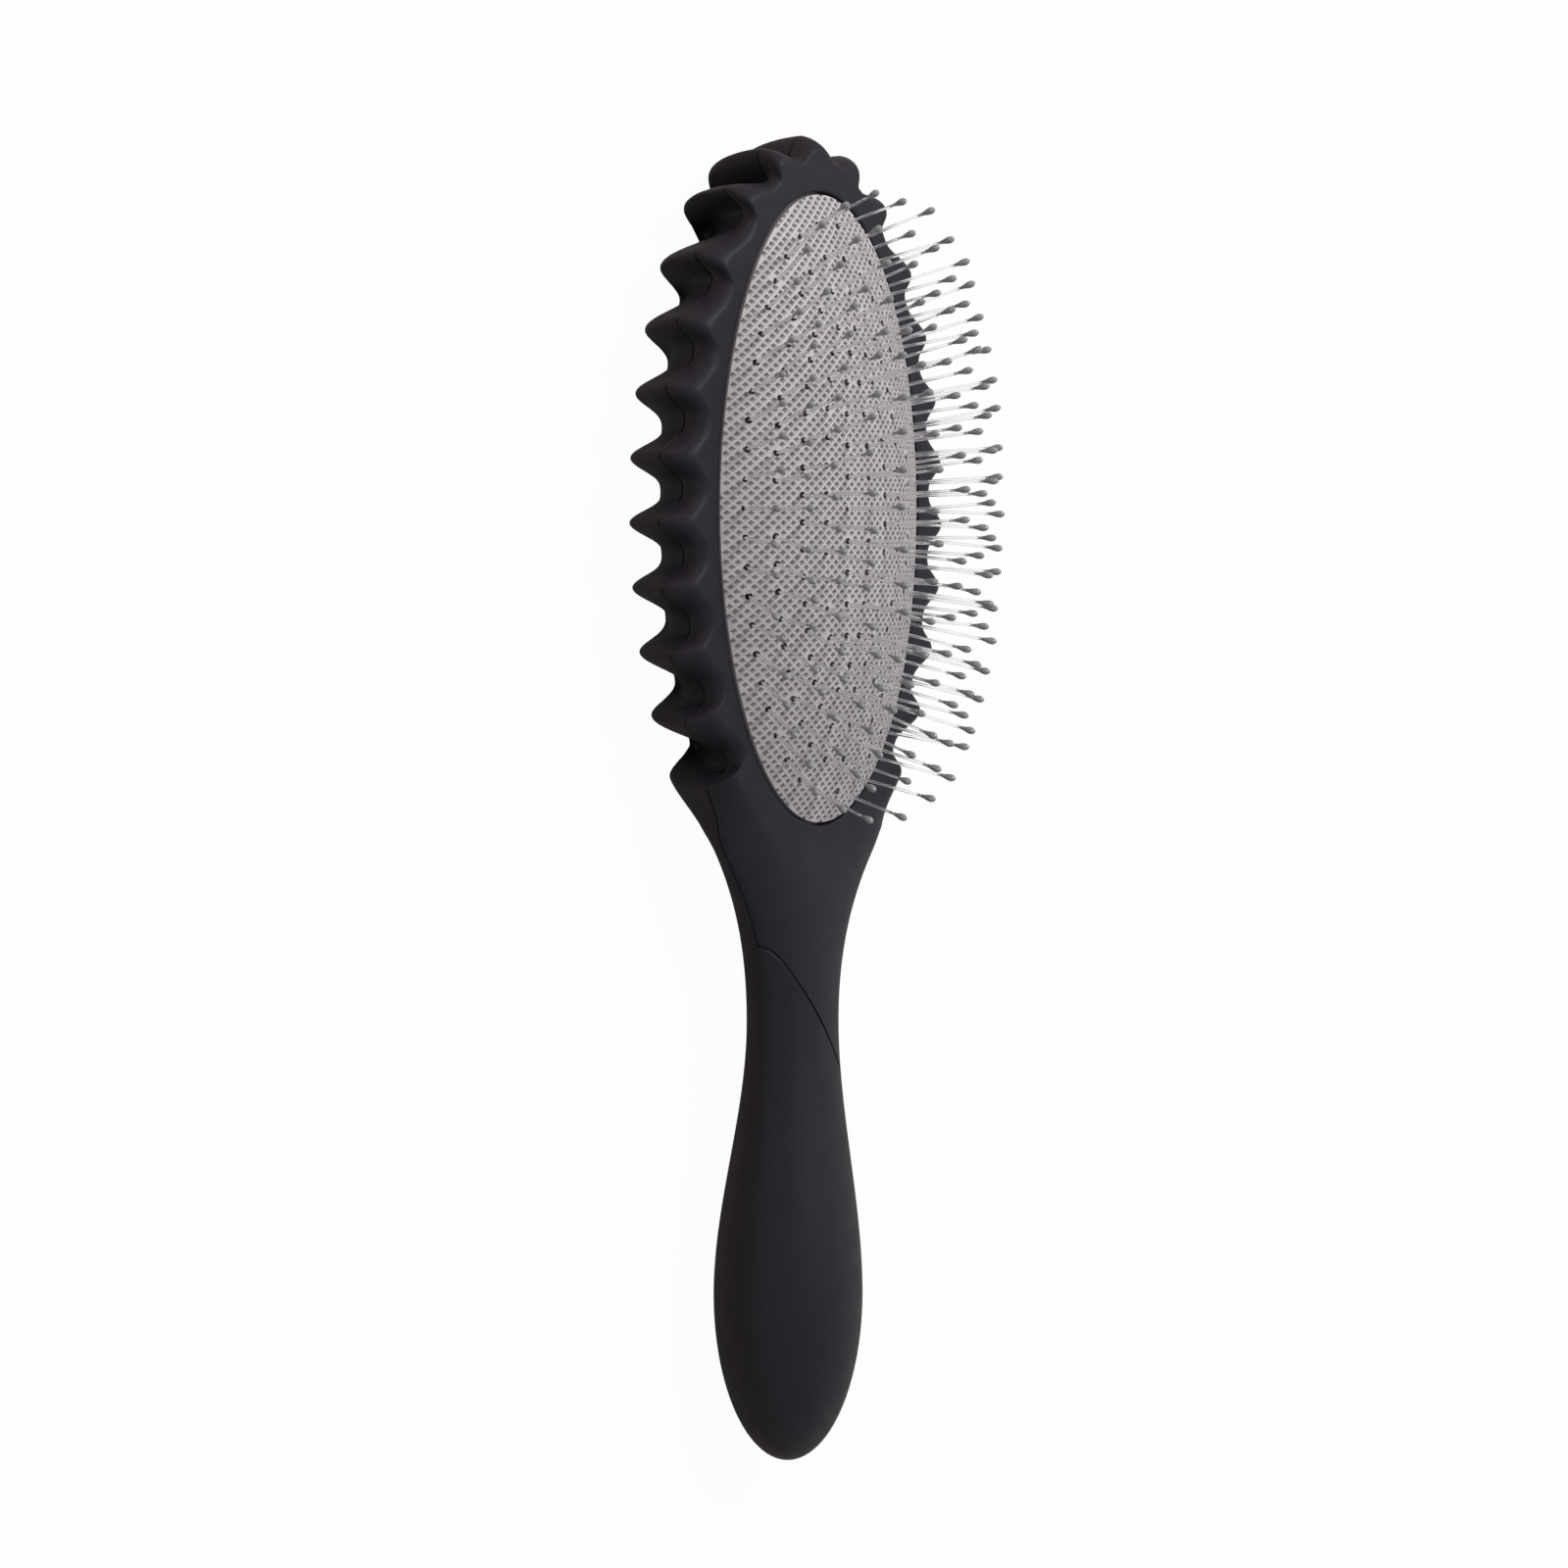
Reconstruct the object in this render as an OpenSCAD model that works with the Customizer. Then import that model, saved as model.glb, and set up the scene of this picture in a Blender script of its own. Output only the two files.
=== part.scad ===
// Detangling brush: a finned head in two half shells, an air cushion whose pins stand in rings, and a
// moulded grip over the tang of the shells. X is the width, +Y runs to the end of the head and +Z is
// the side of the pins. The brush lies on its back, on the plane Z = 0, with its length centred on Y = 0.

/* [Overall] */
// Length of the brush from the top fin to the end of the grip
overall_l = 228; // [215:1:245]

/* [Head] */
// Half width of the head over its fin tips
head_a = 33.4; // [32.6:0.1:36]
// Half length of the head over its fin tips
head_b = 63.6; // [60:0.1:66]
// Height of the flat front face over the resting plane
face_z = 20.2; // [19.6:0.1:22]
// Height of the plane where the two shells part
parting_z = 15.3; // [14.8:0.1:16]
// How far the back curves in to the side before it reaches the resting plane
back_round = 12.2; // [11:0.1:14]
// How far the back curves in at the end of the head
back_round_l = 4.5; // [3:0.1:7]
// How far the front slopes in to the side before it reaches the front face
front_round = 4.2; // [3:0.1:5]
// How far the front slopes in at the end of the head
front_round_l = 3; // [2:0.1:4]

/* [Fins] */
// Depth of the grooves between the fins at the sides
fin_depth = 6.9; // [6:0.1:7.2]
// Depth of the grooves beside the single fin at the end of the head
fin_depth_l = 6.5; // [5.4:0.1:6.6]
// Distance from the end of the head to the tips of the second pair of fins
fin_start = 10; // [9.6:0.1:11]
// Distance from fin to fin along the head
fin_pitch = 11.2; // [10.8:0.05:11.3]
// Least distance from the last pair of fins to the lower end of the head
fin_rest = 14; // [12:0.5:16]

/* [Handle] */
// Height of the neck's centre line
neck_z = 13.5; // [13:0.1:14]
// Distance from the lower end of the head up to the neck's root inside it
root_run = 8.6; // [7:0.1:10]
// Half width of the neck at its root
root_w = 20.1; // [18:0.1:21]
// Half thickness of the neck at its root
root_t = 7.3; // [7:0.1:8.2]
// Distance from the neck's root to the waist, the slimmest place
waist_run = 32.9; // [30:0.1:36]
// Half width of the waist
waist_w = 8.7; // [8.2:0.1:9.4]
// Half thickness of the waist
waist_t = 7.1; // [7:0.1:8]
// Distance from the end of the grip to the fullest place of the grip
bulb_run = 29; // [25:0.1:32]
// Half width of the grip at its fullest place
bulb_w = 13.4; // [12:0.1:15]
// Half thickness of the grip at its fullest place
bulb_t = 12.4; // [11:0.1:13]

/* [Grip joint] */
// Distance from the waist to the middle of the grip's slanted upper edge
scarf_run = 1.5; // [0:0.1:3]
// Drop of the slanted edge from its middle to the side of the waist
scarf_drop = 10.3; // [8:0.1:11]
// Bow of the slanted edge over the half width of the waist
scarf_bow = 2.2; // [0:0.1:3]
// Gap left between the neck and the grip
scarf_gap = 0.3; // [0.2:0.05:0.6]
// Half width of the tang inside the grip
tang_w = 5.2; // [4.4:0.1:5.6]
// Half thickness of the tang inside the grip
tang_t = 4.2; // [3.6:0.1:4.6]
// Distance from the end of the grip to the end of the tang
tang_run = 18; // [14:0.5:30]
// Clearance of the tang in the grip
tang_gap = 0.1; // [0.05:0.05:0.3]

/* [Cushion] */
// Width of the front rim beside the cushion, out to the line of the fin tips
rim_w = 9.6; // [9.4:0.1:11]
// Width of that rim at the ends of the head
rim_l = 10.3; // [9.8:0.1:11]
// Rise of the cushion's crown over the front face
crown_h = 6; // [5:0.1:7]
// Wall of the rubber cushion
pad_wall = 1.2; // [1:0.1:1.4]
// Width of the cushion's flange under the front face
flange_w = 1.1; // [1:0.1:1.2]
// Thickness of the flange
flange_t = 1.1; // [0.9:0.1:1.3]
// Clearance round the cushion
pad_gap = 0.2; // [0.15:0.05:0.3]

/* [Shells] */
// Thickness of the front face round the cushion
face_t = 1.8; // [1.6:0.1:2]
// Wall of the back shell
back_wall = 2; // [1.6:0.1:2.4]
// Width of the ledge that carries the chamber plate
ledge_w = 2.4; // [2:0.1:3]
// Radius of the pegs that line up the two shells
peg_r = 1.5; // [1.2:0.1:1.8]
// Height of the pegs over the parting plane
peg_h = 3; // [2.5:0.1:3.4]
// Clearance of the pegs in their sockets
peg_gap = 0.1; // [0.05:0.05:0.2]

/* [Chamber plate] */
// Thickness of the plate's floor
plate_t = 1.6; // [1.2:0.1:1.8]
// Clearance left over the plate's floor when the cushion is pressed
press_gap = 0.8; // [0.6:0.1:1]
// Radius of the hole that lets the chamber breathe
vent_r = 1; // [0.8:0.1:1.5]

/* [Pins] */
// Distance from pin to pin
pin_pitch = 4.95; // [4.8:0.05:5.4]
// Distance from the cushion's side to the outermost ring of pins
ring_in = 3.8; // [3.2:0.1:4.6]
// Distance from the cushion's end to the outermost ring of pins
ring_in_l = 4.3; // [4:0.1:5.2]
// Distance from ring to ring along the cushion
ring_step_l = 5.6; // [5.4:0.1:6]
// Radius of a pin
pin_r = 0.28; // [0.24:0.02:0.34]
// Length of a pin over the cushion, with its tip
pin_l = 17.4; // [15:0.1:19]
// Lean of the outermost pins to the side, in degrees
side_lean = 24.5; // [20:0.5:26]
// Lean of the outermost pins at the ends, in degrees
end_lean = 19; // [12:0.5:20]
// Radius of a pin's hole in the cushion
hole_r = 0.5; // [0.45:0.01:0.55]
// Length of a tip
tip_l = 2.6; // [2:0.1:3]
// Largest radius of a tip
tip_r = 0.65; // [0.5:0.05:0.75]
// Thickness of the strip that joins the feet of a ring of pins
strip_t = 0.8; // [0.6:0.1:0.9]
// Half width of that strip
strip_w = 1.1; // [0.9:0.1:1.3]
// Clearance between the strips and the cushion
strip_gap = 0.3; // [0.25:0.05:0.4]
// Depth that the pins sink into the head when the cushion is pressed
press_l = 3; // [2:0.1:3]

/* [Hidden] */

// Overrun of cuts past the faces that they open
over = 1;
// Places along Y of the ends, the centre of the head and the stations of the handle
end_y = -overall_l / 2;
head_y = overall_l / 2 - head_b;
root_y = head_y - head_b + root_run;
waist_y = root_y - waist_run;
bulb_y = end_y + bulb_run;
scarf_y = waist_y - scarf_run;
tang_end_y = end_y + tang_run;
// How fast the neck widens towards the head, and how it runs on inside the head
flare_share = 2.1;
inner_flare_share = 0.4;
inner_thin_share = 0.2;
inner_run = 7;
// Faces round a section of the handle, of an oval cut and between two fins
handle_sides = 32;
oval_sides = 64;
fin_steps = 10;
// Sharpness of the fins: the power of the wave between them
fin_share = 1.5;
// Wave of the plain loop inside the grooves, under 0 so that it lies deeper than they do
inner_wave_share = -0.15;
// Place round the head's oval, in degrees from its end, of the first pair of fins, and the place from
// which the fins stand straight out to the side
first_fin = 20;
side_fin = 38;
// Rows of the back half from the resting plane up: share of the height, share of the back's rounding
// by which the tips have curved in, and share of the depth that the grooves have
back_row_shares = [
    [0, 1, 0.7], [0.02, 0.8, 0.96], [0.08, 0.59, 1.19], [0.2, 0.39, 1.28],
    [0.36, 0.23, 1.22], [0.52, 0.12, 1.1], [0.72, 0.04, 1.04], [1, 0, 1],
];
// Rows of the front half from the parting plane up, in the same form
front_row_shares = [[0, 0, 1], [0.35, 0.03, 0.97], [0.7, 0.29, 0.78], [0.93, 0.63, 0.5], [1, 1, 0.22]];
// Rows of the hollow in the back shell: share of its depth, then how far its wall has curved in, as a
// share of the back's rounding
hollow_row_shares = [[1, 0], [0.55, 0.06], [0.2, 0.36], [0, 0.66]];
// Rows of a tip: share of its length, then of its radius
tip_row_shares = [[0, 0.45], [0.62, 1], [0.88, 0.75]];

// Sum of the lengths of the arc of an ellipse, from its far end, with the angle reached there
function arc_table(a, b) = [
    for (i = 0, s = 0; i <= 360; s = s + arc_step(a, b, i), i = i + 1) [s, i]
];
function arc_step(a, b, i) = norm([a * cos(i + 0.5), b * sin(i + 0.5)]) * PI / 180;
function oval(a, b, t) = [a * sin(t), head_y + b * cos(t)];
function oval_loop(a, b) = [for (i = [0 : oval_sides - 1]) oval(a, b, 360 * i / oval_sides)];
function smooth(x) = x * x * (3 - 2 * x);
function unit(v) = v / norm(v);

// A solid from a list of closed loops of points, each with as many points as the next. The end past
// the last loop rises to a point where one is given.
function ring_faces(n, rows) = [
    for (r = [0 : rows - 2], i = [0 : n - 1]) let (j = (i + 1) % n)
        each [[r * n + i, r * n + j, (r + 1) * n + j], [r * n + i, (r + 1) * n + j, (r + 1) * n + i]]
];
function mean(loop) = [for (p = loop) 1] * loop / len(loop);
module loft(loops, peak = undef) {
    n = len(loops[0]);
    rows = len(loops);
    last = (rows - 1) * n;
    end = is_undef(peak) ? mean(loops[rows - 1]) : peak;
    points = concat([for (l = loops) each l], [mean(loops[0]), end]);
    caps = [
        for (i = [0 : n - 1]) let (j = (i + 1) % n)
            each [[i, rows * n, j], [last + j, rows * n + 1, last + i]]
    ];
    polyhedron(points, concat(ring_faces(n, rows), caps));
}

// Outline of the head with its fins, numbered from the single fin at the end. From the second pair on
// they follow each other along the head in even steps. A fin is the crest of a wave on the oval of the
// tips, and past the last pair the outline stays on that oval until it is inside the neck.
fin_pairs = 2 + floor((2 * head_b - fin_start - fin_rest) / fin_pitch);
fin_angles = [
    for (k = [0 : fin_pairs])
        [k, k < 2 ? k * first_fin : acos((head_b - fin_start - (k - 2) * fin_pitch) / head_b)]
];
root_angles = [for (i = [1 : 4]) [fin_pairs + i, fin_angles[fin_pairs][1] * (4 - i) / 4 + 45 * i]];
half_places = concat([for (i = [0 : fin_pairs * fin_steps]) i / fin_steps], [for (r = root_angles) r[0]]);
function fin_wave(k) = k >= fin_pairs ? 1 : pow((1 + cos(360 * k)) / 2, fin_share);

// A point of the outline: on the oval of the tips, less the depth of the groove there, which runs
// straight along the head at its end and straight across at the sides
function head_point(k, row, across, along, wave) =
    let (t = lookup(k, concat(fin_angles, root_angles)))
    let (run = min(1, t / side_fin))
    let (way = k > fin_pairs ? 90 * (fin_pairs - k) / 4 : 90 * (1 - smooth(run)))
    let (depth = (fin_depth_l + (fin_depth - fin_depth_l) * run) * row[2])
    oval(head_a - across * row[1], head_b - along * row[1], t)
    - [cos(way), sin(way)] * depth * (1 - wave);
function head_loop(row, across, along, z, inner = false) =
    let (right = [for (k = half_places)
        head_point(k, row, across, along, inner ? inner_wave_share : fin_wave(k))])
    let (count = len(right))
    concat([for (p = right) [p.x, p.y, z]], [for (i = [count - 2 : -1 : 1]) [-right[i].x, right[i].y, z]]);

// Half of the head from its rows. Each flat end runs in to a plain loop just inside the grooves.
module head_half(rows, low, high, across, along) {
    last = len(rows) - 1;
    heights = [for (s = rows) low + s[0] * (high - low)];
    loft(concat(
        [head_loop(rows[0], across, along, heights[0], true)],
        [for (i = [0 : last]) head_loop(rows[i], across, along, heights[i])],
        [head_loop(rows[last], across, along, heights[last], true)]
    ));
}

// Half width, half thickness and centre of the handle at a place y
function neck_share(y) = pow((y - waist_y) / (root_y - waist_y), flare_share);
function grip_share(y) = smooth(min(1, (waist_y - y) / (waist_y - bulb_y)));
function cap_share(y) = sqrt(max(0, 1 - pow((bulb_y - y) / (bulb_y - end_y), 2)));
function handle_w(y) =
    y > root_y ? root_w + inner_flare_share * (y - root_y)
    : y > waist_y ? waist_w + (root_w - waist_w) * neck_share(y)
    : y > bulb_y ? waist_w + (bulb_w - waist_w) * grip_share(y)
    : bulb_w * cap_share(y);
function handle_t(y) =
    y > root_y ? root_t - inner_thin_share * (y - root_y)
    : y > waist_y ? waist_t + (root_t - waist_t) * neck_share(y)
    : y > bulb_y ? waist_t + (bulb_t - waist_t) * grip_share(y)
    : bulb_t * cap_share(y);
function handle_z(y) = y > waist_y ? neck_z : neck_z + (bulb_t - neck_z) * grip_share(y);
function handle_loop(y) = [
    for (i = [0 : handle_sides - 1]) let (a = 360 * i / handle_sides)
        [handle_w(y) * cos(a), y, handle_z(y) - handle_t(y) * sin(a)]
];
neck_places = [for (i = [0 : 7]) root_y + inner_run + (waist_y - root_y - inner_run) * i / 7];
grip_places = [for (i = [1 : 8]) waist_y + (bulb_y - waist_y) * i / 8];
cap_places = [for (a = [15, 28, 40, 51, 61, 70, 78, 84]) bulb_y + (end_y - bulb_y) * sin(a)];

module handle_form() {
    places = concat(neck_places, grip_places, cap_places);
    loft([for (y = places) handle_loop(y)], [0, end_y, handle_z(end_y)]);
}

// The slanted edge between the neck and the grip, seen from the front, and the plan on one side of it
function scarf_at(x) =
    scarf_y - scarf_drop * x / waist_w + scarf_bow * x * x / (waist_w * waist_w);
scarf_reach = waist_w + over;
scarf_points = [
    for (i = [-8 : 8]) let (x = scarf_reach * i / 8) [x, scarf_at(x)]
];

module above_scarf() {
    wide = root_w + inner_run;
    top = root_y + inner_run + over;
    side = [[wide, scarf_points[16].y], [wide, top], [-wide, top], [-wide, scarf_points[0].y]];
    linear_extrude(face_z + bulb_t) polygon(concat(scarf_points, side));
}

module below_scarf() {
    wide = bulb_w + over;
    side = [
        [wide, scarf_points[16].y - scarf_gap], [wide, end_y - over],
        [-wide, end_y - over], [-wide, scarf_points[0].y - scarf_gap],
    ];
    linear_extrude(face_z + bulb_t)
        polygon(concat([for (p = scarf_points) p - [0, scarf_gap]], side));
}

// The tang that carries the grip: a bar with cut corners
module tang_form(grow) {
    w = tang_w + grow;
    t = tang_t + grow;
    c = tang_t / 3;
    translate([0, root_y, neck_z]) rotate([90, 0, 0])
        linear_extrude(root_y - tang_end_y + grow)
            polygon([
                [w, c - t], [w, t - c], [w - c, t], [c - w, t],
                [-w, t - c], [-w, c - t], [c - w, -t], [w - c, -t],
            ]);
}

module above_parting(top) {
    translate([-root_w - inner_run, end_y, parting_z])
        cube([2 * (root_w + inner_run), overall_l, top]);
}

module below_parting() {
    translate([-root_w - inner_run, end_y, -over])
        cube([2 * (root_w + inner_run), overall_l, parting_z + over]);
}

module neck_and_tang() {
    intersection() {
        handle_form();
        above_scarf();
    }
    tang_form(0);
}

module at_pegs() {
    for (y = [root_y - root_t, root_y - 2 * root_t])
        translate([0, y, parting_z]) children();
}

module oval_prism(a, b, low, high) {
    translate([0, 0, low]) linear_extrude(high - low) polygon(oval_loop(a, b));
}

// The cushion where it leaves the front face, and the outermost ring of pins
pad_a = head_a - rim_w;
pad_b = head_b - rim_l;
ring_a = pad_a - ring_in;
ring_b = pad_b - ring_in_l;
ring_step = ring_a / 4;

// The crown curves across the cushion with one radius and along it with another
cross_r = (pad_a * pad_a + crown_h * crown_h) / (2 * crown_h);
along_r = (pad_b * pad_b + crown_h * crown_h) / (2 * crown_h);
crown_z = face_z + crown_h;
function crown_at(x, y) =
    crown_z - along_r + sqrt(pow(along_r - cross_r + sqrt(cross_r * cross_r - x * x), 2) - y * y);

// Depth of the middle of the strips that join the pins' feet, under the outside of the cushion
strip_depth = pad_wall + strip_gap + strip_t / 2;

// Heights of the stack under the front face: face, flange of the cushion, chamber plate
under_face_z = face_z - face_t;
flange_top_z = under_face_z - pad_gap;
flange_z = flange_top_z - flange_t;
plate_rim_z = flange_z - pad_gap;
// The plate's floor lies just under the feet of the outermost pins when the cushion is pressed
foot_z = crown_at(0, ring_b) - strip_depth - strip_t / 2;
plate_top_z = foot_z - press_l - press_gap;
plate_z = plate_top_z - plate_t;
seat_a = pad_a + flange_w + pad_gap;
seat_b = pad_b + flange_w + pad_gap;

module front_shell() {
    color("dimgray") difference() {
        union() {
            head_half(front_row_shares, parting_z, face_z, front_round, front_round_l);
            intersection() {
                neck_and_tang();
                above_parting(bulb_t);
            }
        }
        oval_prism(pad_a + pad_gap, pad_b + pad_gap, parting_z - over, face_z + over);
        oval_prism(seat_a, seat_b, parting_z - over, under_face_z);
        at_pegs() translate([0, 0, -over]) cylinder(h = peg_h + peg_gap + over, r = peg_r + peg_gap);
    }
}

module back_shell() {
    ledge_a = seat_a - ledge_w;
    ledge_b = seat_b - ledge_w;
    color("dimgray") difference() {
        union() {
            head_half(back_row_shares, 0, parting_z, back_round, back_round_l);
            intersection() {
                neck_and_tang();
                below_parting();
            }
            at_pegs() translate([0, 0, -over]) cylinder(h = peg_h + over, r = peg_r);
        }
        oval_prism(seat_a, seat_b, plate_z, parting_z + over);
        loft([for (i = [len(hollow_row_shares) - 1 : -1 : 0]) let (s = hollow_row_shares[i])
            let (inset = s[1] * back_round)
            [for (p = oval_loop(ledge_a - inset, ledge_b - inset))
                [p.x, p.y, back_wall + s[0] * (plate_z + over - back_wall)]]]);
    }
}

module grip_sleeve() {
    color("black") difference() {
        intersection() {
            handle_form();
            below_scarf();
        }
        tang_form(tang_gap);
    }
}

module chamber_plate() {
    color("gray") difference() {
        oval_prism(seat_a - pad_gap, seat_b - pad_gap, plate_z, plate_rim_z);
        oval_prism(pad_a - pad_wall, pad_b - pad_wall, plate_top_z, plate_rim_z + over);
        translate([0, head_y, plate_z - over]) cylinder(h = plate_t + 2 * over, r = vent_r);
    }
}

module crown(inset) {
    translate([0, head_y, crown_z - along_r]) rotate([0, 90, 0])
        rotate_extrude($fn = 360) translate([along_r - cross_r, 0]) circle(cross_r - inset, $fn = 180);
}

module cushion_pad() {
    color("darkgray") difference() {
        union() {
            intersection() {
                oval_prism(pad_a, pad_b, flange_z, crown_z + over);
                crown(0);
            }
            oval_prism(pad_a + flange_w, pad_b + flange_w, flange_z, flange_top_z);
        }
        intersection() {
            oval_prism(pad_a - pad_wall, pad_b - pad_wall, flange_z - over, crown_z + over);
            crown(pad_wall);
        }
        for (i = [0 : 4], p = pin_places(i))
            at_pin(p) translate([0, 0, -3 * pad_wall]) cylinder(h = 5 * pad_wall, r = hole_r);
    }
}

// Places of the pins of one ring, as [x, y from the head's centre]. Rings stand by turns on and beside
// the centre line, and the last one is a straight row, as far inside them as they are inside each other.
row_count = 1 + 2 * floor((ring_b - 4 * ring_step_l) / pin_pitch);
function ring_offset(i) = i % 3 == 0 ? 0.5 : 0;
function ring_half(i) = [ring_a - i * ring_step, ring_b - i * ring_step_l];
function ring_places(i) =
    let (half = ring_half(i))
    let (table = arc_table(half.x, half.y))
    let (whole = table[360][0])
    let (count = 4 * round(whole / pin_pitch / 4 - ring_offset(i)) + 4 * ring_offset(i))
    [for (k = [0 : count - 1]) let (t = lookup(whole * (k + ring_offset(i)) / count, table))
        [half.x * sin(t), half.y * cos(t)]];
function row_places() = [for (k = [0 : row_count - 1]) [0, (k - (row_count - 1) / 2) * pin_pitch]];
function pin_places(i) = i == 4 ? row_places() : ring_places(i);

// Where a pin leaves the cushion and the way that it leans
function pin_root(p) = [p.x, head_y + p.y, crown_at(p.x, p.y)];
function pin_way(p) = unit([tan(side_lean * p.x / ring_a), tan(end_lean * p.y / ring_b), 1]);

module at_pin(p) {
    way = pin_way(p);
    translate(pin_root(p)) rotate([0, acos(way.z), atan2(way.y, way.x)]) children();
}

// The strip under the cushion that joins the feet of a ring: a flat band square to the pins
function strip_loop(p, out) =
    let (way = pin_way(p))
    let (foot = pin_root(p) - way * strip_depth)
    let (side = unit([out.x, out.y, -(out.x * way.x + out.y * way.y) / way.z]) * strip_w)
    let (up = way * strip_t / 2)
    [foot - side - up, foot + side - up, foot + side + up, foot - side + up];

module ring_strip(i) {
    half = ring_half(i);
    outs = [for (p = pin_places(i)) unit([p.x / pow(half.x, 2), p.y / pow(half.y, 2)])];
    n = len(outs);
    points = [for (k = [0 : n - 1]) each strip_loop(pin_places(i)[k], outs[k])];
    polyhedron(points, [
        for (k = [0 : n - 1], c = [0 : 3]) let (m = (k + 1) % n, d = (c + 1) % 4)
            each [[4 * k + c, 4 * m + d, 4 * k + d], [4 * k + c, 4 * m + c, 4 * m + d]]
    ]);
}

module row_strip() {
    ends = (row_count - 1) / 2 * pin_pitch + strip_w;
    loft([for (k = [-4 : 4]) strip_loop([0, ends * k / 4], [1, 0])]);
}

module pins(i) {
    color("whitesmoke") union() {
        if (i == 4)
            row_strip();
        else
            ring_strip(i);
        for (p = pin_places(i))
            at_pin(p) translate([0, 0, -strip_depth])
                cylinder(h = strip_depth + pin_l - tip_l, r = pin_r, $fn = 4);
    }
}

// A drop-shaped tip of four sides that sits on the end of a pin
module tip() {
    rows = [for (s = tip_row_shares) [for (c = [0 : 3])
        [tip_r * s[1] * sin(90 * c), tip_r * s[1] * cos(90 * c), tip_l * s[0]]]];
    points = concat([for (r = rows) each r], [[0, 0, tip_l]]);
    sides = ring_faces(4, 3);
    polyhedron(points, concat(sides, [for (c = [0 : 3]) [8 + c, 8 + (c + 1) % 4, 12]], [[0, 3, 2, 1]]));
}

module tips(i) {
    color("slategray")
        for (p = pin_places(i))
            at_pin(p) translate([0, 0, pin_l - tip_l]) tip();
}

front_shell();
back_shell();
grip_sleeve();
cushion_pad();
chamber_plate();
pins(0);  // pins_ring_1
pins(1);  // pins_ring_2
pins(2);  // pins_ring_3
pins(3);  // pins_ring_4
pins(4);  // pins_row_5
tips(0);  // tips_ring_1
tips(1);  // tips_ring_2
tips(2);  // tips_ring_3
tips(3);  // tips_ring_4
tips(4);  // tips_row_5
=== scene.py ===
import bpy
import bmesh
import math
import numpy as np
from mathutils import Matrix, Vector


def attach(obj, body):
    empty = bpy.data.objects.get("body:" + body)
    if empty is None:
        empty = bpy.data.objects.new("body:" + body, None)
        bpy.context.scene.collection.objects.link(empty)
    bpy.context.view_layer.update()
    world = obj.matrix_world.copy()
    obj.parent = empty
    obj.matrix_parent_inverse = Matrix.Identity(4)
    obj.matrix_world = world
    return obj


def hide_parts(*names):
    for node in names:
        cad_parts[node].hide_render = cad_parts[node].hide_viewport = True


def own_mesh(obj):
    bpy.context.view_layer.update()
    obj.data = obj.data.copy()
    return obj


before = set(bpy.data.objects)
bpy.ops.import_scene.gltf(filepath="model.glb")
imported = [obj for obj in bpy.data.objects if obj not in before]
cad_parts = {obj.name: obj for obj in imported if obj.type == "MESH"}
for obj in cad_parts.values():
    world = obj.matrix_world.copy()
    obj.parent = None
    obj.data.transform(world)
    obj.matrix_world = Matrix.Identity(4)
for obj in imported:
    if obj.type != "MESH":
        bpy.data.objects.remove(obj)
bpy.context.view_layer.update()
mm = 0.001


# Small tools for curves and meshes. Places are worked out in millimetres.

def smoothStep(x):
    x = np.clip(x, 0, 1)
    return x * x * (3 - 2 * x)


def ellipseArc(a, b):
    # arc length along an ellipse from its top, with the angle reached there, summed over small steps
    t = np.linspace(0, 2 * np.pi, 7201)
    step = np.hypot(a * np.cos(t), b * np.sin(t))
    return np.concatenate([[0], np.cumsum((step[1:] + step[:-1]) / 2 * np.diff(t))]), t


def gridFaces(shape, start=0, wrap=False):
    # quads between neighbouring points of a grid stored row by row
    rows, cols = shape
    index = np.arange(rows * cols).reshape(rows, cols) + start
    if wrap:
        index = np.hstack([index, index[:, :1]])
    return np.stack([index[:-1, :-1], index[:-1, 1:], index[1:, 1:], index[1:, :-1]], -1).reshape(-1, 4)


def makeMesh(name, points, faces, smooth=True):
    # points in millimetres; faces is a list of arrays, each with a row of corners for every face
    mesh = bpy.data.meshes.new(name)
    rows = [f for part in faces for f in part.tolist()]
    mesh.from_pydata((np.asarray(points) * mm).tolist(), [], rows)
    mesh.polygons.foreach_set("use_smooth", np.full(len(mesh.polygons), smooth))
    mesh.update()
    piece = bpy.data.objects.new(name, mesh)
    bpy.context.scene.collection.objects.link(piece)
    return piece


def weldAndTurnOut(piece, sharp=None, distance=0.002):
    # merges the seams of a closed shell, turns its faces outwards and marks edges over an angle as sharp
    made = bmesh.new()
    made.from_mesh(piece.data)
    bmesh.ops.remove_doubles(made, verts=made.verts, dist=distance * mm)
    bmesh.ops.dissolve_degenerate(made, edges=made.edges, dist=distance * mm / 4)
    bmesh.ops.recalc_face_normals(made, faces=made.faces)
    made.to_mesh(piece.data)
    made.free()
    if sharp:
        piece.data.set_sharp_from_angle(angle=math.radians(sharp))
    piece.data.update()


# Finishes

def newMaterial(name):
    material = bpy.data.materials.new(name)
    material.use_nodes = True
    nodes, links = material.node_tree.nodes, material.node_tree.links
    nodes.clear()
    output = nodes.new("ShaderNodeOutputMaterial")
    shader = nodes.new("ShaderNodeBsdfPrincipled")
    links.new(shader.outputs[0], output.inputs["Surface"])
    return material, nodes, links, shader


def noiseOn(nodes, links, scale, detail=2.0, roughness=0.5):
    place = nodes.new("ShaderNodeTexCoord")
    noise = nodes.new("ShaderNodeTexNoise")
    noise.inputs["Scale"].default_value = scale
    noise.inputs["Detail"].default_value = detail
    noise.inputs["Roughness"].default_value = roughness
    links.new(place.outputs["Object"], noise.inputs["Vector"])
    return noise.outputs["Fac"]


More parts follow.
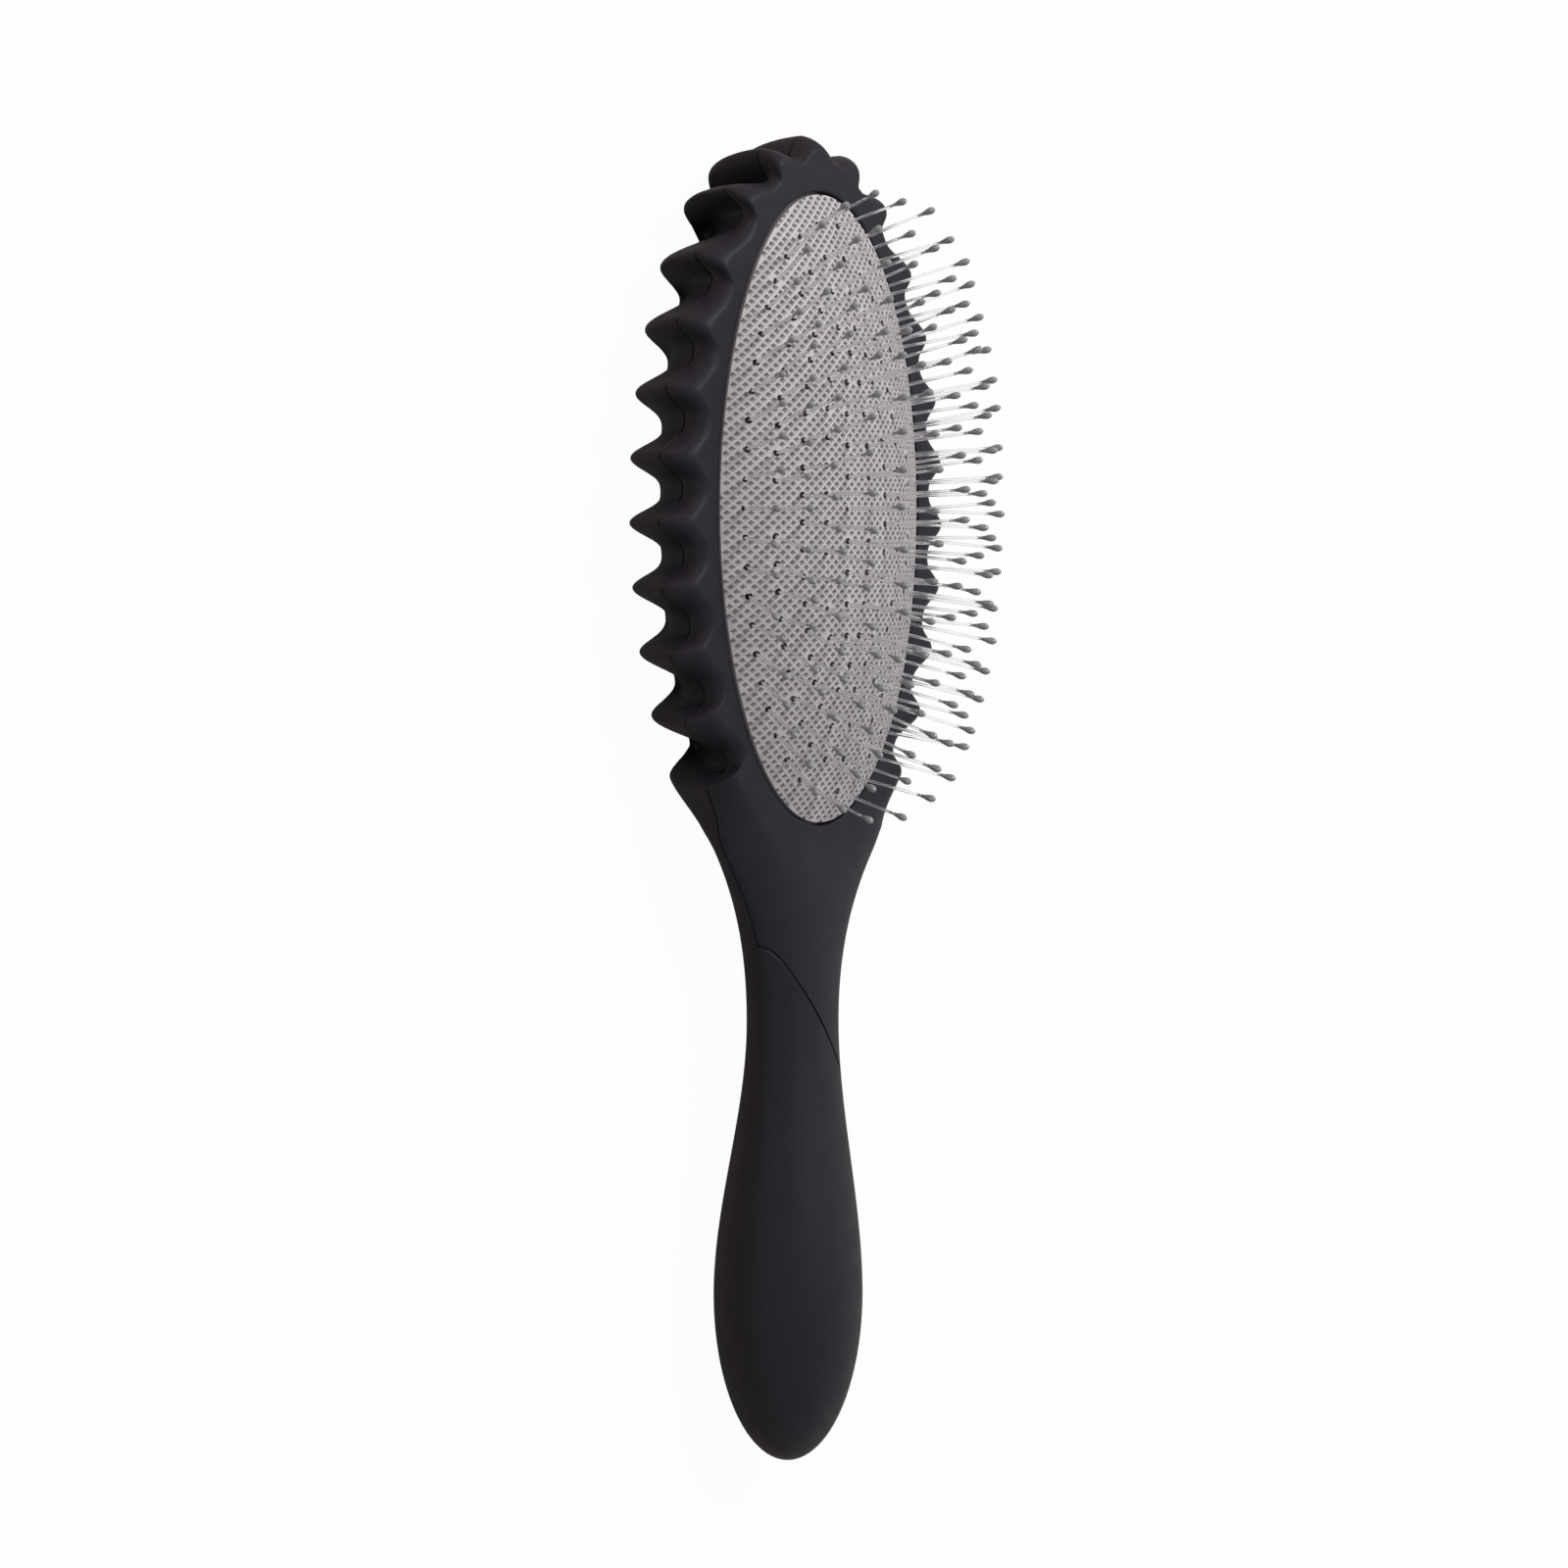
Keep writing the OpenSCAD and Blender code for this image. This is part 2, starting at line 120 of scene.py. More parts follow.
def between(nodes, links, source, low, high):
    # maps 0.3 to 0.7 of a noise onto low to high
    ramp = nodes.new("ShaderNodeMapRange")
    ramp.inputs["From Min"].default_value = 0.3
    ramp.inputs["From Max"].default_value = 0.7
    ramp.inputs["To Min"].default_value = low
    ramp.inputs["To Max"].default_value = high
    links.new(source, ramp.inputs["Value"])
    return ramp.outputs["Result"]


def colourClouds(nodes, links, dark, light, scale, detail=2.0):
    # drifts from one colour to the other
    mix = nodes.new("ShaderNodeMix")
    mix.data_type = "RGBA"
    mix.inputs["A"].default_value = (*dark, 1)
    mix.inputs["B"].default_value = (*light, 1)
    links.new(noiseOn(nodes, links, scale, detail), mix.inputs["Factor"])
    return mix.outputs["Result"]


def softPlastic(name, dark, light, roughness, grain, bump, specular=0.4, deep=None):
    # moulded plastic or rubber with a dull skin: a fine grain, faint clouds of colour and of gloss
    material, nodes, links, shader = newMaterial(name)
    colour = colourClouds(nodes, links, dark, light, 60.0, 3.0)
    if deep:
        # (attribute of the mesh, level, share): painted shade; up to that level of the attribute the colour
        # sinks to a share of itself
        attribute = nodes.new("ShaderNodeAttribute")
        attribute.attribute_name = deep[0]
        level = nodes.new("ShaderNodeMapRange")
        level.inputs["From Max"].default_value = deep[1]
        level.inputs["To Min"].default_value = 1.0
        level.inputs["To Max"].default_value = deep[2]
        links.new(attribute.outputs["Fac"], level.inputs["Value"])
        scaled = nodes.new("ShaderNodeVectorMath")
        scaled.operation = "SCALE"
        links.new(colour, scaled.inputs["Vector"])
        links.new(level.outputs["Result"], scaled.inputs["Scale"])
        colour = scaled.outputs["Vector"]
    links.new(colour, shader.inputs["Base Color"])
    links.new(between(nodes, links, noiseOn(nodes, links, 260.0, 4.0), *roughness),
              shader.inputs["Roughness"])
    shader.inputs["Specular IOR Level"].default_value = specular
    relief = nodes.new("ShaderNodeBump")
    relief.inputs["Strength"].default_value = bump
    relief.inputs["Distance"].default_value = 0.00005
    links.new(noiseOn(nodes, links, grain, 3.0, 0.6), relief.inputs["Height"])
    links.new(relief.outputs["Normal"], shader.inputs["Normal"])
    return material


# Camera, as the photograph was taken: from the left of the front, a little over the middle

cameraDims = {
    "distance": 725, "height": 41, "aimHeight": 3.4, "aimAside": -1.5, "aimDepth": 13.5, "lens": 96.95,
}


def makeCamera():
    d = cameraDims
    aside = Vector((1, 0, 1)).normalized()
    back = Vector((-1, 0, 1)).normalized()
    aim = Vector((0, d["aimHeight"], d["aimDepth"])) + aside * d["aimAside"]
    place = Vector((aim.x, d["height"], aim.z)) + back * d["distance"]
    look = (aim - place).normalized()
    right = look.cross(Vector((0, 1, 0))).normalized()
    up = right.cross(look)
    data = bpy.data.cameras.new("camera")
    data.lens = d["lens"]
    data.sensor_width = 36
    data.clip_start = 0.01
    data.clip_end = 20
    camera = bpy.data.objects.new("camera", data)
    turn = Matrix((right, up, -look)).transposed().to_4x4()
    turn.translation = place * mm
    camera.matrix_world = turn
    bpy.context.scene.collection.objects.link(camera)
    bpy.context.scene.camera = camera


makeCamera()
print("camera is in place")


# Head and handle: the outline in plan, and how far the sections curve in from it

headDims = {
    "headCentre": 50.4, "tipHalfWidth": 33.4, "tipHalfLength": 63.6,
    "faceHeight": 20.2, "partingHeight": 15.3, "backRound": 12.2, "backRoundEnd": 4.5,
    "frontRound": 4.2, "frontRoundEnd": 3.0, "frontSlope": 0.74,
    "finPairs": 11, "finStart": 10, "finPitch": 11.2, "firstFin": 17.5, "sideFin": 38, "samplesPerFin": 26,
    # degrees from the end of the head, with the value there
    "grooveDepths": ([0, 43, 58, 75, 90, 112, 130], [6.5, 9.0, 6.5, 6.3, 6.9, 6.9, 8.9]),
    "finSharpness": ([0, 17.5, 24, 45], [0.85, 1, 1.9, 1.5]),
    "floorWave": -0.15,  # a little deeper than the grooves
    "holeHalfWidth": 24.25, "holeHalfLength": 53.8, "holeLip": 0.4, "faceThickness": 1.8,
    "seatHalfWidth": 25.1, "seatHalfLength": 54.6, "seatFloor": 13.5, "seatMiddle": 0.6,
    "seam": 0.12, "seamRound": 0.14, "underRows": 6, "spine": 0.62,
}
handleDims = {
    "end": -114, "rootPlace": -4.6, "rootHalfWidth": 20.6, "rootHalfThick": 6.4,
    "waistPlace": -37.5, "waistHalfWidth": 8.7, "waistHalfThick": 7.1,
    "bulbPlace": -85.0, "bulbHalfWidth": 13.4, "bulbHalfThick": 12.4,
    "neckHeight": 13.5, "neckRise": 1.1, "flare": 2.1, "innerFlare": 0.4, "innerThin": 0.2,
}
neckDims = {
    "blendRun": 19.0, "blendSteps": 48, "mixRun": 12.0, "holeRun": 12.0, "freeSteps": 40, "innerRows": 12,
    "sideAngle": 55, "leastCosine": -0.985,
    "frontTop": -4.0, "frontRun": 12.0, "backTop": 4.0, "backRun": 18.0,
}
scarfDims = {
    "place": -37.0, "drop": 13.0, "sideTop": 18.7, "sideDrop": 0.66, "sideEase": 0.6, "gap": 0.4, "lip": 0.3,
}


def handleShares(y):
    # how far up the way is from the waist to the neck's root, and down from the waist to the bulb
    d = handleDims
    neck = np.clip((y - d["waistPlace"]) / (d["rootPlace"] - d["waistPlace"]), 0, None) ** d["flare"]
    grip = smoothStep((d["waistPlace"] - y) / (d["waistPlace"] - d["bulbPlace"]))
    return neck, grip


def handleHalf(y, root, waist, bulb, slope):
    # half size of the section: straight inside the head, a power curve from its root to the waist, a
    # smooth step from there to the bulb, and a quarter of an ellipse to the end
    d = handleDims
    neck, grip = handleShares(y)
    cap = np.sqrt(np.clip(1 - ((d["bulbPlace"] - y) / (d["bulbPlace"] - d["end"])) ** 2, 0, 1))
    return np.where(y > d["rootPlace"], root + slope * (y - d["rootPlace"]), np.where(
        y > d["waistPlace"], waist + (root - waist) * neck, np.where(
            y > d["bulbPlace"], waist + (bulb - waist) * grip, bulb * cap)))


def handleWidth(y):
    d = handleDims
    return handleHalf(y, d["rootHalfWidth"], d["waistHalfWidth"], d["bulbHalfWidth"], d["innerFlare"])


def handleThickness(y):
    d = handleDims
    return handleHalf(y, d["rootHalfThick"], d["waistHalfThick"], d["bulbHalfThick"], -d["innerThin"])


def handleCentre(y):
    # height of the middle of the section
    d = handleDims
    neck, grip = handleShares(y)
    return (d["neckHeight"] + d["neckRise"] * np.minimum(neck, 1)
            + (d["bulbHalfThick"] - d["neckHeight"]) * grip)


def scarfPlace(x, z):
    # the grip's slanted edge: a straight line seen from the front, which drops away round the back
    s = scarfDims
    share = x / handleDims["waistHalfWidth"]
    behind = np.clip(s["sideTop"] - z, 0, None)
    return s["place"] - s["drop"] * share - s["sideDrop"] * behind ** 2 / (behind + s["sideEase"])


def scarfOnHandle(angle, shift=0.0):
    # where the slanted edge crosses the line of each angle round the handle, reached by going half
    # of the remaining way again and again
    y = np.full(np.shape(angle), scarfDims["place"])
    for _ in range(60):
        x = handleWidth(y) * np.cos(angle)
        z = handleCentre(y) + handleThickness(y) * np.sin(angle)
        y = 0.5 * y + 0.5 * (scarfPlace(x, z) + shift)
    return y


def finAngles():
    # angle of each fin's tip on the oval, from the single fin at the end of the head: from the second
    # pair on the tips follow each other in even steps along the head
    d = headDims
    number = np.arange(d["finPairs"] + 1)
    along = d["tipHalfLength"] - d["finStart"] - (number - 2) * d["finPitch"]
    angle = np.arccos(np.clip(along / d["tipHalfLength"], -1, 1))
    angle[:2] = np.radians([0, d["firstFin"]])
    return number, angle


def bodyStations():
    # Stations round the right half of the outline, from the top down to the start of the free neck:
    # angle on the oval of the tips, height of the fin's wave, share of the neck, place along Y, how
    # far that is below the last fin, and the station at which the hole's oval closes
    d = headDims
    n = neckDims
    fin = np.linspace(0, d["finPairs"], d["finPairs"] * d["samplesPerFin"] + 1)
    t = np.interp(fin, *finAngles())
    wave = ((1 + np.cos(2 * np.pi * fin)) / 2) ** np.interp(np.degrees(t), *d["finSharpness"])
    headY = d["headCentre"] + d["tipHalfLength"] * np.cos(t)
    neckY = headY[-1] - n["blendRun"] * np.arange(1, n["blendSteps"] + 1) / n["blendSteps"]
    cosT = np.clip((neckY - d["headCentre"]) / d["tipHalfLength"], n["leastCosine"], 1)
    place = np.concatenate([headY, neckY])
    fall = headY[-1] - place
    return {
        "angle": np.concatenate([t, np.arccos(cosT)]),
        "wave": np.concatenate([wave, np.ones(len(neckY))]),
        "neck": np.concatenate([0 * t, smoothStep((headY[-1] - neckY) / n["mixRun"])]),
        "place": place, "fall": fall, "lastFin": len(t) - 1,
        "ringEnd": np.argmax(fall >= n["holeRun"] - 1e-6),
    }


def headPoint(t, wave, inAcross, inAlong, depthShare):
    # A point of the head's outline: on the oval of the tips, curved in, less the depth of the groove,
    # which runs straight along the head at its end and straight across at the sides
    d = headDims
    run = np.clip(t / math.radians(d["sideFin"]), 0, 1)
    way = np.pi / 2 * (1 - smoothStep(run))
    depth = np.interp(np.degrees(t), *d["grooveDepths"]) * depthShare * (1 - wave)
    x = (d["tipHalfWidth"] - inAcross) * np.sin(t) - np.cos(way) * depth
    y = (d["tipHalfLength"] - inAlong) * np.cos(t) - np.sin(way) * depth
    return x, d["headCentre"] + y


def holeAngles(st):
    # the angle on the hole's oval that lies straight inside each station of the head; beside the
    # neck the angles run on to the lower end of the oval
    d = headDims
    x, y = headPoint(st["angle"], d["floorWave"], 0, 0, 1)
    ring = np.arctan2(x / (d["holeHalfWidth"] + d["holeLip"]),
                      (y - d["headCentre"]) / (d["holeHalfLength"] + d["holeLip"]))
    last = ring[st["lastFin"]]
    along = np.clip(st["fall"] / neckDims["holeRun"], 0, 1)
    return np.where(st["fall"] > 0, last + (np.pi - last) * along, ring)


# shares of the grooves' depth: on the back by the share of the height up to the parting plane, on the
# front at the parting plane and at the face, there from the end of the head to faceFrom degrees
backDepthShares = ([0, 0.02, 0.08, 0.2, 0.36, 0.52, 0.72, 1], [0.5, 0.76, 1, 1.12, 1.12, 1.03, 0.92, 0.81])
frontDepthShares = {"atParting": 0.81, "atEndFace": 0.28, "atFace": 0.46, "faceFrom": 60, "power": 1.5}
roundingRows = {"front": 20, "back": 22}


def sideRows(front, t):
    # Rows of the rounding between the parting plane and the front face or the back: height, share of
    # the way that the tips have curved in, and share of the depth of the grooves
    d = headDims
    turn = np.linspace(0, 1, roundingRows["front" if front else "back"])
    rise = np.sin(np.pi / 2 * turn)
    curved = 1 - np.cos(np.pi / 2 * turn)
    if front:
        height = d["partingHeight"] + (d["faceHeight"] - d["partingHeight"]) * rise
        # the grooves grow shallower towards the face and roll over into it
        s = frontDepthShares
        atFace = np.interp(np.degrees(t), [0, s["faceFrom"]], [s["atEndFace"], s["atFace"]])
        share = atFace + (s["atParting"] - atFace) * (1 - rise) ** s["power"]
        return height, curved ** d["frontSlope"], share, turn
    return d["partingHeight"] * (1 - rise), curved, np.interp(1 - rise, *backDepthShares), turn


def neckAngles(y, turn, front):
    # angle round the elliptic section from the parting plane to the steep end of the rounding
    lift = (headDims["partingHeight"] - handleCentre(y)) / handleThickness(y)
    start = np.arcsin(np.clip(lift, -1, 1))
    stop = math.radians(neckDims["sideAngle"]) * (1 if front else -1)
    return start + (stop - start) * turn


def insideShare(x, y):
    # height of the elliptic section at x, as a share of the height of its middle
    return np.sqrt(np.clip(1 - (x / handleWidth(y)) ** 2, 0, 1))


def frontHeight(x, y):
    # the flat face, which turns into the neck's ellipse below the head
    d = neckDims
    share = smoothStep((d["frontTop"] - y) / d["frontRun"])
    neck = handleCentre(y) + handleThickness(y) * insideShare(x, y)
    return headDims["faceHeight"] * (1 - share) + neck * share


def backHeight(x, y):
    # the flat back, which turns into the underside of the neck
    d = neckDims
    share = smoothStep((d["backTop"] - y) / d["backRun"])
    return (handleCentre(y) - handleThickness(y) * insideShare(x, y)) * share


def halfSkin(front, st):
    # The outer skin of the right half as a grid of stations and rows, from the parting edge to the
    # lip of the hole or the centre line: rounding rows mix the finned head with the neck's ellipse,
    # and rows further in run straight to the inner edge on the height of the face or the back.
    d = headDims
    n = neckDims
    t = st["angle"][:, None]
    y = st["place"][:, None]
    height, curved, depthShare, turn = sideRows(front, t)
    across = d["frontRound"] if front else d["backRound"]
    along = d["frontRoundEnd"] if front else d["backRoundEnd"]
    headX, headY = headPoint(t, st["wave"][:, None], across * curved, along * curved, depthShare)
    head = np.stack([headX, headY, np.broadcast_to(height, headX.shape)], -1)
    a = neckAngles(y, turn, front)
    neck = np.stack([handleWidth(y) * np.cos(a), np.broadcast_to(y, a.shape),
                     handleCentre(y) + handleThickness(y) * np.sin(a)], -1)
    rounding = head + (neck - head) * st["neck"][:, None, None]

    if front:
        ring = holeAngles(st)
        bottom = d["headCentre"] - d["holeHalfLength"] - d["holeLip"]
        below = np.arange(len(ring)) >= st["ringEnd"]
        first = st["place"][st["ringEnd"]]
        last = st["place"][-1]
        down = np.clip((first - st["place"]) / (first - last), 0, 1)
        edgeX = np.where(below, 0, (d["holeHalfWidth"] + d["holeLip"]) * np.sin(ring))
        edgeY = np.where(below, bottom + (last - bottom) * down,
                         d["headCentre"] + (d["holeHalfLength"] + d["holeLip"]) * np.cos(ring))
    else:
        edgeX = 0 * st["place"]
        edgeY = d["headCentre"] + (st["place"] - d["headCentre"]) * d["spine"]
        edgeY = edgeY + (st["place"] - edgeY) * smoothStep(st["fall"] / n["blendRun"])
    edge = np.stack([edgeX, edgeY], -1)[:, None]
    outer = rounding[:, -1:]
    steep = math.radians(n["sideAngle"])
    share = 1 - np.cos(np.linspace(steep, np.pi / 2, n["innerRows"] + 1)[1:]) / math.cos(steep)
    plan = outer[..., :2] + (edge - outer[..., :2]) * share[:, None]
    surface = frontHeight if front else backHeight
    lift = (outer[..., 2] - surface(outer[..., 0], outer[..., 1])) * (1 - share) ** 2
    inner = np.concatenate([plan, (surface(plan[..., 0], plan[..., 1]) + lift)[..., None]], -1)
    return np.concatenate([rounding, inner], 1), turn, share


def freeNeck(front, side, turn, share, startY):
    # the free neck from a level line to the slanted edge, by angle round the ellipse
    steps = neckDims["freeSteps"]
    stop = math.radians(neckDims["sideAngle"])
    inner = np.arccos(np.clip(math.cos(stop) * (1 - share), 0, 1)) * (1 if front else -1)
    angle = np.concatenate([neckAngles(np.full(len(turn), startY), turn, front), inner])
    # the angles and the places of the slanted edge are worked out in turn until both fit
    for _ in range(12):
        goal = scarfOnHandle(angle if side > 0 else np.pi - angle)
        angle = np.concatenate([neckAngles(goal[:len(turn)], turn, front), inner])
    tau = (np.arange(1, steps + 1) / steps)[:, None]
    y = startY + (goal - startY) * tau
    a = np.concatenate([neckAngles(y[:, :len(turn)], turn, front),
                        np.broadcast_to(inner, (steps, len(inner)))], 1)
    x = handleWidth(y) * np.cos(a)
    x[:, -1] = 0
    return np.stack([x, y, handleCentre(y) + handleThickness(y) * np.sin(a)], -1)


def partingRim(grid, seamZ, zSign):
    # three loops that round the rim of the parting edge over a little, down to the seam's plane
    r = headDims["seamRound"]
    rim = grid[:, :1]
    inwards = (grid[:, -1:] - rim) * (1, 1, 0)
    inwards /= np.linalg.norm(inwards, axis=-1, keepdims=True)
    rolls = []
    for inset, rise in ((0, 1), (0.3, 0.3), (1, 0)):
        roll = rim + inwards * r * inset
        roll[..., 2] = seamZ + zSign * r * rise
        rolls.append(roll)
    return rolls


def seatLine(ringAngle, centreY, seamZ):
    # the edge of the cushion's seat on the seam's plane, then the centre line under the neck
    d = headDims
    count = len(ringAngle)
    seat = np.zeros((count + len(centreY), 1, 3))
    seat[:count, 0, 0] = d["seatHalfWidth"] * np.sin(ringAngle)
    seat[:count, 0, 1] = d["headCentre"] + d["seatHalfLength"] * np.cos(ringAngle)
    seat[count - 1, 0, 0] = 0
    bottom = d["headCentre"] - d["seatHalfLength"]
    # each place lies a hundredth of a millimetre or more below the one before it
    seat[count:, 0, 1] = np.minimum(bottom - 0.01 * np.arange(1, len(centreY) + 1), centreY)
    seat[..., 2] = seamZ
    return seat


def wallInside(front, side, ringAngle, lipOut, seatEdge):
    # the wall inside the head: from the hole's lip round the face's underside to the seat's edge, or
    # from the seat's edge down to its floor
    d = headDims
    level = seatEdge.copy()
    if front:
        lip = d["holeLip"]
        inset, sink = np.array([(0.7, 0.3), (1, 1), (1, d["faceThickness"] / lip)]).T
        ring = ringAngle[:, None]
        hole = np.stack([(d["holeHalfWidth"] + lip * (1 - inset)) * np.sin(ring) * side,
                         d["headCentre"] + (d["holeHalfLength"] + lip * (1 - inset)) * np.cos(ring),
                         d["faceHeight"] - lip * sink + 0 * ring], -1)
        level[..., 2] = d["faceHeight"] - d["faceThickness"]
        return np.concatenate([lipOut, hole, level, seatEdge], 1)
    level[..., 2] = d["seatFloor"]
    middle = level * (0, 1, 1)
    middle[..., 1] = d["headCentre"] + (level[..., 1] - d["headCentre"]) * d["seatMiddle"]
    return np.concatenate([seatEdge, level, middle], 1)


def shellParts(front):
    # Each side of a shell is a strip from the inner edge out over the skin to the parting edge, round
    # its rim and in again under it to the seat, with the wall inside the head
    d = headDims
    zSign = 1 if front else -1
    seamZ = d["partingHeight"] + zSign * d["seam"]
    st = bodyStations()
    skin, turn, share = halfSkin(front, st)
    headCount = st["ringEnd"] + 1
    ringAngle = holeAngles(st)[:headCount]
    points, faces, start = [], [], 0
    for side in (1, -1):
        grid = np.concatenate([skin, freeNeck(front, side, turn, share, st["place"][-1])])
        rolls = partingRim(grid, seamZ, zSign)
        seat = seatLine(ringAngle, grid[headCount:, -1, 1], seamZ)
        under = rolls[-1] + (seat - rolls[-1]) * np.linspace(0, 1, d["underRows"] + 1)[1:, None]
        strip = np.concatenate([grid[:, :0:-1], *rolls, under], 1) * (side, 1, 1)
        wall = wallInside(front, side, ringAngle, strip[:headCount, :1], strip[:headCount, -1:])
        rows, cols = strip.shape[:2]
        faces.append((np.arange(cols) + start + (rows - 1) * cols)[None])  # closes the end in the grip
        for part in (strip, wall):
            points.append(part.reshape(-1, 3))
            faces.append(gridFaces(part.shape[:2], start))
            start += part.shape[0] * part.shape[1]
    return np.concatenate(points), faces


shellFinish = {
    "dark": (0.0085, 0.0076, 0.0125), "light": (0.0112, 0.01, 0.0158), "roughness": (0.5, 0.6),
    "grain": 2600.0, "bump": 0.2, "specular": 0.17,
}
shellBlack = softPlastic("shellBlack", **shellFinish)


def makeShell(name, node, front):
    points, faces = shellParts(front)
    piece = makeMesh(name, points, faces)
    weldAndTurnOut(piece, sharp=38)
    piece.data.materials.append(shellBlack)
    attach(piece, "body")
    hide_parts(node)
    print(name, len(piece.data.polygons), "faces")


makeShell("frontShell", "front_shell", True)
makeShell("backShell", "back_shell", False)


# Grip: the sleeve over the tang, from the slanted edge to a round end

gripDims = {"around": 128, "along": 90, "crowding": 1.15, "capSteps": 26}
gripFinish = {
    "dark": (0.0062, 0.0056, 0.0092), "light": (0.0085, 0.0077, 0.012), "roughness": (0.48, 0.58),
    "grain": 2600.0, "bump": 0.25, "specular": 0.17,
}


def makeGrip():
    # Loops round the ellipse: the first loops roll over the lip of the slanted edge, the next run from
    # it to the fullest place, and the last close on the end as a quarter of an ellipse
    g = gripDims
    d = handleDims
    lip = scarfDims["lip"]
    angle = 2 * np.pi * np.arange(g["around"]) / g["around"]
    top = scarfOnHandle(angle, -scarfDims["gap"])
    tau = (np.linspace(0, 1, g["along"]) ** g["crowding"])[:, None]
    y = top - lip + (d["bulbPlace"] - top + lip) * tau
    end = d["bulbPlace"] + (d["end"] - d["bulbPlace"]) * np.sin(
        np.linspace(0, np.pi / 2, g["capSteps"] + 1)[1:-1])
    y = np.concatenate([y, np.broadcast_to(end[:, None], (len(end), g["around"]))])
    skin = np.stack([handleWidth(y) * np.cos(angle), y,
                     handleCentre(y) + handleThickness(y) * np.sin(angle)], -1)
    rolls = []
    for k in (0, 0.5):
        roll = skin[0].copy()
        roll[:, 1] = top - lip * k
        out = roll - np.stack([0 * angle, roll[:, 1], handleCentre(roll[:, 1])], -1)
        out /= np.linalg.norm(out, axis=1, keepdims=True)
        rolls.append(roll - out * lip * (1 - math.sqrt(1 - (1 - k) ** 2)))
    loops = np.concatenate([np.stack(rolls), skin])
    points = np.concatenate([loops.reshape(-1, 3), [[0, d["end"], handleCentre(d["end"])]]])
    ring = np.arange(g["around"])
    last = ring + len(points) - 1 - g["around"]
    faces = [gridFaces(loops.shape[:2], wrap=True), ring[None, ::-1],
             np.stack([last, np.roll(last, -1), np.full(g["around"], len(points) - 1)], -1)]
    piece = makeMesh("gripSleeve", points, faces)
    weldAndTurnOut(piece, sharp=38)
    piece.data.materials.append(softPlastic("gripBlack", **gripFinish))
    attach(piece, "body")
    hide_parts("grip_sleeve")
    print("grip", len(piece.data.polygons), "faces")


makeGrip()


# Cushion: a crowned rubber pad with a lattice of pits and a hole for each pin

cushionDims = {
    "halfWidth": 23.8, "halfLength": 53.3, "rise": 9.1, "wall": 1.2, "flange": 1.1, "flangeHeight": 1.1,
    "flangeBottom": 17.1, "pitPitch": 1.64, "pitDepth": 0.7, "ridgeShare": 0.14, "holeRadius": 0.58,
    "holeReach": 1.5, "smoothReach": 1.05, "rimFrom": 0.96, "pressKeep": 0.754,
}
# the rubber's colour, and painted shade: in the pits the colour sinks to 0.68 of itself by 0.35 of a pit's
# depth
cushionColourAndPitShade = {
    "dark": (0.43, 0.405, 0.424), "light": (0.49, 0.46, 0.48), "roughness": (0.5, 0.62),
    "grain": 1800.0, "bump": 0.3, "deep": ("pit", 0.35, 0.68),
}
# near black for the walls of the holes and the underside of the grey rubber: painted shade of the chamber
paintedHoleShade = {
    "dark": (0.02, 0.018, 0.02), "light": (0.028, 0.026, 0.028), "roughness": (0.5, 0.6),
    "grain": 900.0, "bump": 0.1,
}
# the pins' places and lean shape the holes too
pinDims = {
    "ringHalfWidth": 20.6, "ringHalfLength": 48.3, "ringStep": 4.5, "ringStepLong": 5.5,
    "counts": (46, 42, 36, 28, 20), "starts": (0.5, 0.5, 0.5, 0.5, 0),
    "radius": 0.27, "length": 16.4, "middleCut": 1.3, "sideLean": 24.5, "endLean": 16.5,
    "sideRush": 1.4, "endRush": 1.2, "waver": 0.04, "tipLength": 2.6, "tipRadius": 0.63,
    # rows of (share of the length, share of the radius)
    "stem": ((-0.13, 0.9), (0, 1.1), (0.3, 1), (0.9, 0.92), (1.03, 0.9)),
    "tip": ((0, 0.46), (0.16, 0.55), (0.38, 0.82), (0.6, 1), (0.78, 0.93), (0.92, 0.6), (1, 0.12)),
}


def crownHeight(x, y):
    # a torus-like crown: one radius across the cushion and a larger one along it; y is from the middle
    c = cushionDims
    cross = (c["halfWidth"] ** 2 + c["rise"] ** 2) / (2 * c["rise"])
    along = (c["halfLength"] ** 2 + c["rise"] ** 2) / (2 * c["rise"])
    top = headDims["faceHeight"] + c["rise"]
    # the lattice reaches past the crown, where there is no height
    across = np.sqrt(np.maximum(cross ** 2 - x ** 2, 0))
    return top - along + np.sqrt(np.maximum((along - cross + across) ** 2 - y ** 2, 0))


def pinPlaces():
    # places of the pins from the middle of the head, on ovals one inside the other
    p = pinDims
    rings = []
    for i, (count, start) in enumerate(zip(p["counts"], p["starts"])):
        a = p["ringHalfWidth"] - i * p["ringStep"]
        b = p["ringHalfLength"] - i * p["ringStepLong"]
        arc, angle = ellipseArc(a, b)
        t = np.interp(arc[-1] * (np.arange(count) + start) / count, arc, angle)
        rings.append(np.stack([a * np.sin(t), b * np.cos(t)], -1))
    return rings


def leanShare(place, reach, rush):
    # grows as a sine from the middle and is full before the outermost ring
    return np.sin(np.pi / 2 * np.clip(rush * place / reach, -1, 1))


def pinWay(places):
    # the way that each pin points: it leans outwards, across and along by an angle of its own
    p = pinDims
    lean = np.stack([
        np.tan(np.radians(p["sideLean"] * leanShare(places[:, 0], p["ringHalfWidth"], p["sideRush"]))),
        np.tan(np.radians(p["endLean"] * leanShare(places[:, 1], p["ringHalfLength"], p["endRush"]))),
        np.ones(len(places))], -1)
    return lean / np.linalg.norm(lean, axis=1, keepdims=True)


